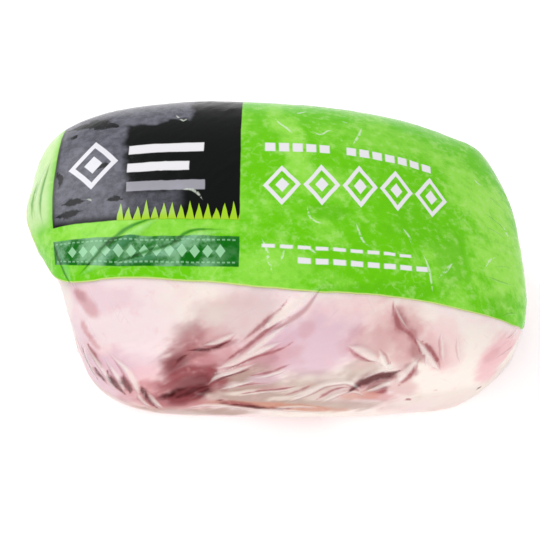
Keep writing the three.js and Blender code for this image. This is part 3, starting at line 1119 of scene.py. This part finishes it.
ROSE_STREAKS = (
    (0.6, ((-16, 43), (-5.3, 52.8), (1.6, 58.5), (4.6, 62.5))),
    (0.55, ((-23, 31), (-14.3, 40.4), (-2.9, 50.8), (5, 55.4))),
    (0.9, ((-23, 24.5), (-11, 35), (1, 40.7), (6.4, 44.8))),
    (0.8, ((49.5, 62), (52.5, 50.4), (58.3, 45.4), (61, 40), (60, 35))),
    (0.9, ((62, 44), (66.5, 39), (69, 31.5))),
    (1.1, ((59.5, 33), (56.5, 22), (52.5, 13))),
    (1.3, ((42.5, 6), (45.2, 7), (48, 9))),
    (0.6, ((16.5, -2), (23.5, 10.5), (28.5, 13.5), (33, 12))),
    (0.6, ((29, 41), (35, 36.6), (42.5, 29.5))),
    (1.2, ((-81, 38), (-77, 29), (-73.5, 19))),
    (0.5, ((-18, 1), (-9, 6), (1, 9), (11, 14))),
    (0.5, ((-21, 8), (-12, 13), (-3, 15))),
    (0.6, ((-12, 21), (-3, 25), (6, 32))),
    (0.5, ((3, 2), (10, 9), (15, 16))),
    (0.7, ((56, 0.2), (58.7, -2.4))),
    (0.5, ((68.4, 9), (69.6, 8))),
)
PLEAT_GUIDE = "pleat_paths"

# Gathers at the ends of the bag: which end and its place along, and the places around where they run
GATHER_SEED = 7
GATHER_TIPS = ((-1, 108), (1, 109))
GATHER_START = -190
GATHER_SPAN = 370
GATHER_SPACING = (0.2, 0.8)
SMALL_GATHERS = {"reach": (8, 15), "size": (0.14, 0.3)}
LONG_GATHERS = {"reach": (14, 42), "size": (0.4, 0.85)}
GATHER_DRIFT = (-6, 6)
GATHER_BEND = (-2, 2)
SMOOTH_SIDE = (-30, 175)
LEFT_BARE = (76, 145)

# Fine creases of the window: their area, half length, bend and size, and slopes as mean and spread
CREASE_SEED = 11
CREASE_AREA = {"along": (-96, 98), "around": (-12, 62)}
CREASE_HALF = (3, 11)
CREASE_BEND = (-0.8, 0.8)
CREASE_SIZE = (0.1, 0.22)
LEFT_CREASES = {"up_to": -50, "slope": (-58, 8)}
MIDDLE_CREASES = {"up_to": 35, "slope": (42, 10)}
RIGHT_CREASES = {"slopes": (-55, 48), "spread": (0, 12)}


def gather_paths(amount):
    """Pleats that run in from both ends of the bag, from a fixed seed: small above and long below."""
    chance = random.Random(GATHER_SEED)
    paths = []
    for end, tip in GATHER_TIPS:
        for i in range(amount):
            around = GATHER_START + GATHER_SPAN * (i + chance.uniform(*GATHER_SPACING)) / amount
            kind = SMALL_GATHERS if SMOOTH_SIDE[0] < around < SMOOTH_SIDE[1] else LONG_GATHERS
            reach = chance.uniform(*kind["reach"])
            size = chance.uniform(*kind["size"])
            drift = chance.uniform(*GATHER_DRIFT)
            bend = chance.uniform(*GATHER_BEND)
            outer = (end * tip, around)
            middle = (end * (tip - reach / 2), around + drift / 2 + bend)
            inner = (end * (tip - reach), around + drift)
            if end > 0 or not LEFT_BARE[0] < around < LEFT_BARE[1]:
                paths.append((size, (outer, middle, inner)))
    return paths


def crease_slope(chance, along):
    """Slope of a small crease in degrees, with the main folds beside it."""
    for part in (LEFT_CREASES, MIDDLE_CREASES):
        if along < part["up_to"]:
            return chance.gauss(*part["slope"])
    return chance.choice(RIGHT_CREASES["slopes"]) + chance.gauss(*RIGHT_CREASES["spread"])


def crease_paths(amount):
    """Short fine creases scattered over the window, from a fixed seed."""
    chance = random.Random(CREASE_SEED)
    paths = []
    for _ in range(amount):
        along = chance.uniform(*CREASE_AREA["along"])
        around = chance.uniform(*CREASE_AREA["around"])
        slope = math.radians(crease_slope(chance, along))
        half = chance.uniform(*CREASE_HALF)
        bend = chance.uniform(*CREASE_BEND)
        run, rise = half * math.cos(slope), half * math.sin(slope)
        places = ((along - run, around - rise), (along, around + bend), (along + run, around + rise))
        paths.append((chance.uniform(*CREASE_SIZE), places))
    return paths


def add_pleat_guide(sizes):
    """Flat paths on the skin's map, layer above layer, with each path's size as its radius."""
    layers = {
        "main": MAIN_FOLDS,
        "crossing": CROSSING_FOLDS,
        "gathers": gather_paths(sizes.gathers),
        "creases": crease_paths(sizes.creases),
        "glints": GLINTS,
        "clear": CLEAR_STREAKS,
        "wine": WINE_STREAKS,
        "rose": ROSE_STREAKS,
    }
    curve = bpy.data.curves.new(PLEAT_GUIDE, "CURVE")
    curve.dimensions = "3D"
    for layer, paths in layers.items():
        level = PATH_LAYERS.index(layer) * LAYER_STEP
        for size, places in paths:
            spline = curve.splines.new("POLY")
            spline.points.add(len(places) - 1)
            for point, (x, y) in zip(spline.points, places):
                point.co = (x * MM, y * MM, level, 1)
                point.radius = size
    guide = bpy.data.objects.new(PLEAT_GUIDE, curve)
    bpy.context.scene.collection.objects.link(guide)


MEAT_INPUTS = SKIN_INPUTS | {
    "Meat inset": "NodeSocketFloat",
    "Meat lumps": "NodeSocketFloat",
    "Loose end": "NodeSocketFloat",
    **{tone: "NodeSocketColor" for tone in MeatColours.__annotations__},
}
LUMPS = (85, 3.0)
LOOSE_RUN = (-78 * MM, -106 * MM)


def meat_tree():
    """The meat: cast onto the solid under the film, pleated with it, lumpy, and coloured in patches."""
    tree, maker, given, result = geometry_tree("Lamb", MEAT_INPUTS)
    loose = maker.times(maker.step(named(maker, "along"), *LOOSE_RUN), given["Loose end"])
    lumps = maker.times(maker.noise(position(maker), *LUMPS), given["Meat lumps"])
    meat = wrapped(maker, given, maker.plus(given["Meat inset"], lumps, loose))
    meat = folded(maker, given, meat, RAISED_FOLDS)
    meat = streaked(maker, given, meat, MEAT_STREAKS)
    meat = stored(maker, meat, "tone", meat_tones(maker, given), "FLOAT_COLOR")
    finish_tree(maker, meat, given, result)
    return tree


# Patches of the meat: colour, strength, place and half size in mm along and around, tilt in degrees
# The beige patches are mostly painted shade in the folds and along the bottom
MEAT_PATCHES = (
    ("cream", 0.85, (78, 22), (34, 30), 0),
    ("beige_and_shade", 0.16, (76, -8), (36, 14), 0),
    ("blush", 0.6, (-80, 8), (22, 26), 0),
    ("beige_and_shade", 0.45, (4, 2), (44, 18), 0),
    ("fat", 0.7, (-66, 46), (34, 24), 0),
    ("blush", 0.5, (-68, 22), (20, 12), -50),
    # Partly membrane and partly painted shade between the streaks at the left end
    ("mauve", 0.8, (-78, 12), (13, 22), -30),
    ("mauve", 0.4, (-88, 26), (12, 26), 0),
    ("mauve", 0.7, (-76, -9), (18, 10), 0),
    ("mauve", 0.4, (-62, 24), (15, 13), 0),
    ("mauve", 0.4, (-76, 60), (17, 6), 0),
    ("cream", 0.6, (-95, 55), (6, 15), 0),
    ("beige_and_shade", 0.3, (-18, 54), (22, 9), 15),
    ("blush", 0.45, (30, 54), (20, 9), 0),
    ("mauve", 0.85, (14, 40), (21, 16), 30),
    ("rose", 0.5, (-8, 34), (19, 11), 38),
    ("muscle", 0.35, (-6, 33), (7, 5), 40),
    ("rose", 0.35, (12, 50.5), (4, 3), 35),
    ("mauve", 0.6, (2, 47), (9, 4), 36),
    ("fat", 0.9, (11, 61.5), (10, 2.6), 36),
    ("beige_and_shade", 0.8, (-13, 15), (14, 12), 25),
    ("beige_and_shade", 0.6, (-14, 22), (12, 6), 30),
    ("blush", 0.5, (-50, 12), (24, 14), 0),
    ("rose", 0.48, (40, 43), (12, 8), 10),
    ("rose", 0.38, (52, 46), (13, 15), 0),
    ("blush", 0.5, (72, 40), (8, 14), 0),
    ("beige_and_shade", 0.5, (36, 27), (9, 7), 0),
    ("beige_and_shade", 0.35, (16, 20), (16, 8), 0),
    ("rose", 0.8, (-60, 3), (14, 10), 0),
    ("rose", 0.85, (-46, -11), (20, 9), 0),
    ("beige_and_shade", 0.7, (-10, -2), (20, 9), 0),
    ("beige_and_shade", 0.5, (22, -8), (22, 6), 0),
    # Painted shade in mauve, then painted highlights in cream and fat, among the low folds in the middle
    ("mauve", 0.6, (-5, 19), (9, 5), 30),
    ("cream", 0.6, (-13, 4), (9, 2.6), 18),
    ("fat", 0.55, (-19, 12), (6, 2.4), 35),
    ("cream", 0.5, (3, -1), (8, 2.4), 20),
    ("rose", 0.3, (-2, 9), (8, 2.6), 25),
    ("rose", 0.7, (-29, 36), (14, 14), 20),
    ("muscle", 0.45, (-36.5, 45), (6, 7), -20),
    ("muscle", 0.77, (-38, 27), (12, 14), 10),
    ("muscle", 0.86, (-37, 9), (16, 12), 30),
    ("muscle", 0.6, (-26, 15), (5, 8), 0),
    ("muscle", 0.7, (-46, 20), (5, 10), 0),
    ("muscle", 0.8, (-51, -9), (8, 5), 30),
    ("rose", 0.7, (-31, 28.5), (8, 3), 38),
    ("muscle", 0.55, (-24, 41.5), (7, 2.2), 20),
    ("wine", 0.38, (-43.5, 25), (4, 8), -25),
    ("wine", 0.4, (-36, 9), (9, 6), 38),
    ("wine", 0.6, (-38, -3), (9, 4), 42),
    ("wine", 1.0, (-41, -3), (14, 6), 42),
    ("muscle", 0.7, (-44, -10), (14, 5), 25),
    ("wine", 0.7, (-40.5, 0), (6, 3.4), 42),
    ("rose", 0.6, (-55, -13), (8, 6), 0),
    ("rose", 0.45, (-60, -19), (9, 8), 0),
    ("beige_and_shade", 0.65, (-40, -23), (22, 7), 0),
    ("beige_and_shade", 0.7, (-22, -20), (12, 6), 0),
    ("beige_and_shade", 0.35, (-72, -22), (16, 6), -15),
    ("amber", 0.75, (0, -11), (28, 4), -5),
    ("muscle", 0.7, (-18, -9), (8, 2.6), -8),
    ("muscle", 0.9, (44, 9), (5, 3.4), 20),
    ("muscle", 0.55, (42, 17), (10, 3.6), 30),
    ("rose", 0.6, (44, 3), (8, 4.5), 0),
    ("rose", 0.5, (33, 9), (6, 4), 30),
    ("rose", 0.5, (54, 31), (5, 7), 10),
    ("amber", 0.5, (36, 4), (9, 5), 0),
    ("rose", 0.55, (56, 46), (7, 11), 15),
    ("rose", 0.35, (68, 38), (5, 9), 15),
    ("rose", 0.45, (55, 12), (6, 8), 20),
    ("muscle", 0.5, (53.5, 52), (3, 6), 10),
    ("muscle", 0.5, (58.5, 46), (2.4, 4), 20),
    ("muscle", 0.5, (60.5, 38), (3, 5), 0),
    ("muscle", 0.45, (57.5, 27), (3, 5), 20),
    ("rose", 0.55, (-80.5, 57.4), (8, 3.4), -38),
    ("muscle", 0.3, (-83, 60), (4, 2.2), -38),
    ("rose", 0.6, (-81, 45.2), (2, 3.4), 30),
    ("rose", 0.55, (-77, 40), (1.8, 3.6), 30),
    ("blush", 0.95, (98, 29), (10, 13), -20),
    ("blush", 0.9, (93, 13), (6, 12), 0),
    ("rose", 0.35, (95, 31), (4, 5), -30),
    ("muscle", 0.7, (-96, 34), (1.6, 5), 0),
)

# Edges of the patches: their drift, then the meat's fibres and grain, which make them ragged
TONE_DRIFT = (75, 2.0)
FIBRE_NOISE = (1.0, 3.0)
FIBRE_SLOPE = 42
FIBRE_GRAIN = (1 / 11, 1 / 4.5, 1)
PATCH_GRAIN = (140, 4.0, 0.62)
# The sum of fibres and grain, and how far it moves the edge of a patch
PATCH_SHIFT = (0.5, 1.5, -0.4, 0.4)
CREAM_CLOUDS = {"noise": (32, 3.0), "step": (0.35, 0.65)}
BLUSH_CLOUDS = {"noise": (60, 4.0), "step": (0.5, 0.75, 0.0, 0.45)}


def meat_tones(maker, given):
    """Colour of the meat at each point: uneven fat, then the patches."""
    place = position(maker)
    flat = maker.scaled(flat_place(maker), 1 / MM)
    shifted = maker.vector("ADD", place, NOISE_SHIFT)
    drift = maker.combine(maker.wander(place, *TONE_DRIFT), maker.wander(shifted, *TONE_DRIFT))
    spot = maker.vector("ADD", flat, drift)
    fibres = maker.vector("MULTIPLY", maker.turned(flat, FIBRE_SLOPE), FIBRE_GRAIN)
    fibres = maker.noise(fibres, *FIBRE_NOISE)
    ragged = maker.sloped(maker.plus(fibres, maker.noise(place, *PATCH_GRAIN)), *PATCH_SHIFT)
    tone = maker.blend(maker.cloud(place, **CREAM_CLOUDS), given["fat"], given["cream"])
    tone = maker.blend(maker.cloud(place, **BLUSH_CLOUDS), tone, given["blush"])
    for name, *form in MEAT_PATCHES:
        tone = maker.blend(patch(maker, spot, ragged, *form), tone, given[name])
    return tone


# Lean meat on the sides that the window doesn't show: where they start, and its zones and seams of fat
HIDDEN_SIDES = ((120, 150), (-32, -60))
LEAN_STRETCH = (0.45, 1, 1)
LEAN_NOISE = (30, 7.0, 0.66)
LEAN_ZONES = (("rose", 0.7, (0.43, 0.58)), ("muscle", 0.85, (0.53, 0.66)))
SEAM_NOISE = (48, 4.0, 0.55)
SEAM_LINE = (0.035, 0.0)
SEAM_STRENGTH = 0.6


def lean_meat(maker, tones, tone, place):
    """Adds lean zones with pale seams of fat to the sides that the window doesn't show."""
    _, around = skin_place(maker, place, 0.0)
    hidden = maker.largest(*(maker.step(around, *side) for side in HIDDEN_SIDES))
    grain = maker.vector("MULTIPLY", place, LEAN_STRETCH)
    lean = maker.noise(grain, *LEAN_NOISE)
    for name, strength, edge in LEAN_ZONES:
        zone = maker.times(maker.step(lean, *edge), hidden)
        tone = maker.paint(tone, zone, strength, getattr(tones, name))
    seams = maker.step(maker.winding(grain, *SEAM_NOISE), *SEAM_LINE)
    return maker.paint(tone, maker.times(seams, hidden), SEAM_STRENGTH, tones.cream)


# Streaks, in half widths of the streak: where the core and the halo start and are full
STREAK_EDGES = {"texture": (170, 5.0, 0.66), "reach": 0.7}
STREAK_CORE = (1.6, 0.25)
STREAK_HALO = (3.0, 0.9)
FIBRES = (160, 4.0, 0.65)
FIBRE_BLUSH = (0.56, 0.72)
# Redness of the painted shade in the creases, between rose and muscle
CREASE_SHADE_REDNESS = 0.6
MEAT_GLOSS = {"Roughness": 0.42, "Specular IOR Level": 0.05}
MEAT_DEPTH = {
    "Subsurface Weight": 0.15,
    "Subsurface Radius": (1.0, 0.4, 0.3),
    "Subsurface Scale": 3 * MM,
}


def streak(maker, layer, ragged):
    """Core and halo of the streaks of a layer, both with ragged edges."""
    edge = maker.plus(maker.attribute("streak_" + layer), ragged)
    return maker.step(edge, *STREAK_CORE), maker.step(edge, *STREAK_HALO)


def meat_material(tones, pleat_reach):
    """Moist lamb in its own tones, with a painted highlight on the crests of folds and painted red shade
    in their creases.
    """
    material, maker, output = new_material("lamb")
    place = maker.add("ShaderNodeTexCoord").outputs["Object"]
    tone = lean_meat(maker, tones, maker.attribute("tone", "Color"), place)
    ridge, crest, crease = fold_lines(maker, pleat_reach)
    fibre = maker.noise(place, *FIBRES)
    ragged = maker.ragged(place, **STREAK_EDGES)
    rose_core, rose_halo = streak(maker, "rose", ragged)
    wine_core, wine_halo = streak(maker, "wine", ragged)
    # The crease coat is painted shade beside the folds' steep sides, and the crest coat a painted
    # highlight
    coats = (
        (maker.step(fibre, *FIBRE_BLUSH), 0.3, tones.blush),
        (crease, 0.55, maker.blend(CREASE_SHADE_REDNESS, tones.rose, tones.muscle)),
        (rose_halo, 0.35, tones.rose),
        (rose_core, 0.65, tones.muscle),
        (crest, 0.6, tones.cream),
        (wine_halo, 0.5, tones.muscle),
        (wine_core, 0.74, tones.wine),
    )
    for mask, strength, tint in coats:
        tone = maker.paint(tone, mask, strength, tint)
    inputs = {"Base Color": tone, "Normal": bumped(maker, ridge, fibre)}
    meat = maker.add("ShaderNodeBsdfPrincipled", MEAT_GLOSS | MEAT_DEPTH | inputs)
    maker.feed(output.inputs["Surface"], meat.outputs[0])
    return material


class LAMBPACK_OT_lamb(bpy.types.Operator):
    """Makes the lamb that shows through the clear film"""

    bl_idname = "lambpack.lamb"
    bl_label = "Lamb"

    def execute(self, context):
        sizes = context.scene.lambpack_skin
        tones = context.scene.lambpack_meat
        values = skin_values(sizes, meat_material(tones, sizes.pleat_reach))
        for tone in MeatColours.__annotations__:
            values[tone] = (*getattr(tones, tone), 1)
        lamb = plain_mesh("lamb_shoulder", meat_tree(), values)
        bpy.data.objects.remove(bpy.data.objects[PLEAT_GUIDE])
        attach(lamb, "root")
        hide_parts(PACK_NODE)
        return {"FINISHED"}


# Stage: sizes and places in metres, power in watts
FLOOR_SIZE = 6.0
FLOOR_ROUGHNESS = 0.9
FLOOR_GLOW = 0.26
SOFTBOXES = (
    {"name": "back_softbox", "place": (-0.95, 0.95, 1.05), "size": (0.9, 1.1), "power": 11},
    {"name": "front_softbox", "place": (0.35, -1.3, 1.3), "size": (1.8, 1.4), "power": 13},
)
AMBIENT = 0.6


def add_floor(scene, settings):
    """A pale floor, wide enough for every view."""
    mesh = bpy.data.meshes.new("floor")
    half = FLOOR_SIZE / 2
    corners = [(-half, -half, 0), (half, -half, 0), (half, half, 0), (-half, half, 0)]
    mesh.from_pydata(corners, [], [(0, 1, 2, 3)])
    floor = bpy.data.objects.new("floor", mesh)
    scene.collection.objects.link(floor)
    material, maker, output = new_material("pale_floor")
    inputs = {
        "Base Color": tuple(settings.floor_colour),
        "Roughness": FLOOR_ROUGHNESS,
        "Emission Color": (1, 1, 1),
        "Emission Strength": FLOOR_GLOW,
    }
    surface = maker.add("ShaderNodeBsdfPrincipled", inputs)
    maker.feed(output.inputs["Surface"], surface.outputs[0])
    mesh.materials.append(material)


def add_lights(scene):
    """Two softboxes and even light from all around."""
    for box in SOFTBOXES:
        light = bpy.data.lights.new(box["name"], "AREA")
        light.shape = "RECTANGLE"
        light.size, light.size_y = box["size"]
        light.energy = box["power"]
        lamp = bpy.data.objects.new(box["name"], light)
        lamp.location = box["place"]
        lamp.rotation_euler = (-lamp.location).to_track_quat("-Z", "Y").to_euler()
        scene.collection.objects.link(lamp)
    world = bpy.data.worlds.new("studio")
    world.use_nodes = True
    sky = world.node_tree.nodes["Background"]
    sky.inputs["Color"].default_value = (1, 1, 1, 1)
    sky.inputs["Strength"].default_value = AMBIENT
    scene.world = world
    scene.view_settings.view_transform = "Standard"


def add_camera(scene, settings):
    """The camera, with a lens that fits the view's width."""
    camera = bpy.data.cameras.new("camera")
    camera.lens = camera.sensor_width * settings.camera_distance / settings.view_width
    view = bpy.data.objects.new("camera", camera)
    aim = Vector((settings.aim_shift, 0, settings.aim_height))
    towards = Vector((0, -math.cos(settings.camera_rise), math.sin(settings.camera_rise)))
    view.location = aim + towards * settings.camera_distance
    view.rotation_euler = (-towards).to_track_quat("-Z", "Y").to_euler()
    scene.collection.objects.link(view)
    scene.camera = view


class LAMBPACK_OT_stage(bpy.types.Operator):
    """Sets up the pale floor, the studio lights and the camera"""

    bl_idname = "lambpack.stage"
    bl_label = "Stage"

    def execute(self, context):
        settings = context.scene.lambpack_stage
        add_floor(context.scene, settings)
        add_lights(context.scene)
        add_camera(context.scene, settings)
        return {"FINISHED"}


class LAMBPACK_PT_panel(bpy.types.Panel):
    """Lists the pieces of the pack and their settings"""

    bl_idname = "LAMBPACK_PT_panel"
    bl_label = "Lamb pack"
    bl_space_type = "VIEW_3D"
    bl_region_type = "UI"
    bl_category = "Lamb pack"

    def draw(self, context):
        for operator in OPERATORS:
            self.layout.operator(operator.bl_idname)
        for group in GROUPS:
            settings = getattr(context.scene, group)
            for name in settings.__annotations__:
                self.layout.prop(settings, name)


GROUPS = {
    "lambpack_skin": SkinSizes,
    "lambpack_print": PrintColours,
    "lambpack_meat": MeatColours,
    "lambpack_stage": StageSettings,
}
OPERATORS = (LAMBPACK_OT_film, LAMBPACK_OT_lamb, LAMBPACK_OT_stage)
CLASSES = (*GROUPS.values(), *OPERATORS, LAMBPACK_PT_panel)


def register():
    for cls in CLASSES:
        bpy.utils.register_class(cls)
    for name, group in GROUPS.items():
        setattr(bpy.types.Scene, name, bpy.props.PointerProperty(type=group))


def unregister():
    for name in GROUPS:
        delattr(bpy.types.Scene, name)
    for cls in reversed(CLASSES):
        bpy.utils.unregister_class(cls)


def main():
    register()
    bpy.ops.lambpack.film()
    bpy.ops.lambpack.lamb()
    bpy.ops.lambpack.stage()


if __name__ == "__main__":
    main()
